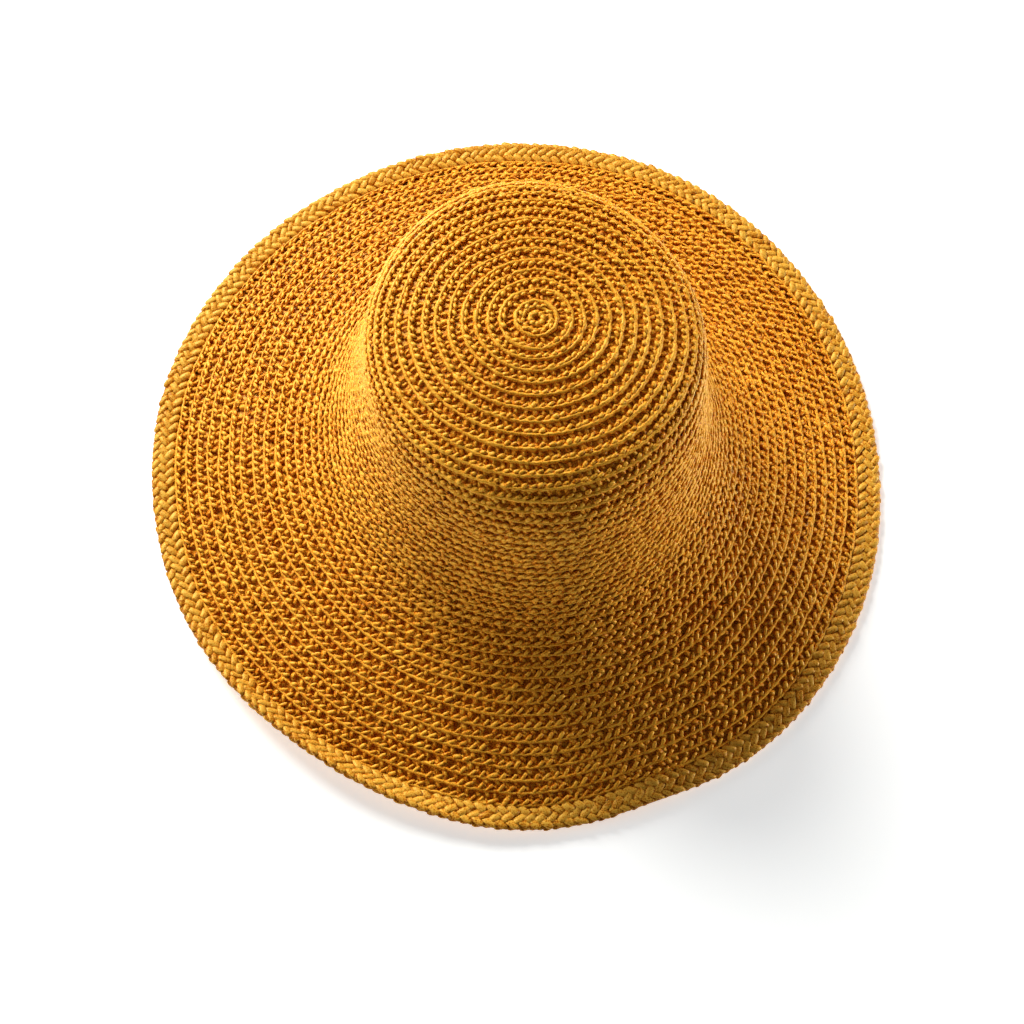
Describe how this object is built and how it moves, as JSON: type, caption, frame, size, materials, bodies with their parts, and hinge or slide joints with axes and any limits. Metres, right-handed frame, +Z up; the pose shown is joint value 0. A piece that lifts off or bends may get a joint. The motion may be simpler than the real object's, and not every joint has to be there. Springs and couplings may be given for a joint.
{
  "type": "crochet sun hat",
  "caption": "Wide-brimmed crocheted sun hat with a domed crown, a flaring side and a flat braided edge, standing on its brim.",
  "frame": {"origin": "on the surface the hat stands on, under the middle of the brim", "axes": "+Z up out of the crown, -Y to the front of the hat, +Y along its longest side, +X to the left of a wearer facing -Y"},
  "size_m": [0.3911, 0.4177, 0.1501],
  "materials": {
    "crochet": "ochre straw yarn worked in firm rounds of crochet, satin strands with deep stitch holes",
    "braid": "paler golden straw yarn in a flat plait, smooth satin strands"
  },
  "bodies": {
    "root": {"crown_top": "crochet", "crown_side": "crochet", "brim": "crochet", "edge_braid": "braid"}
  },
  "joints": []
}
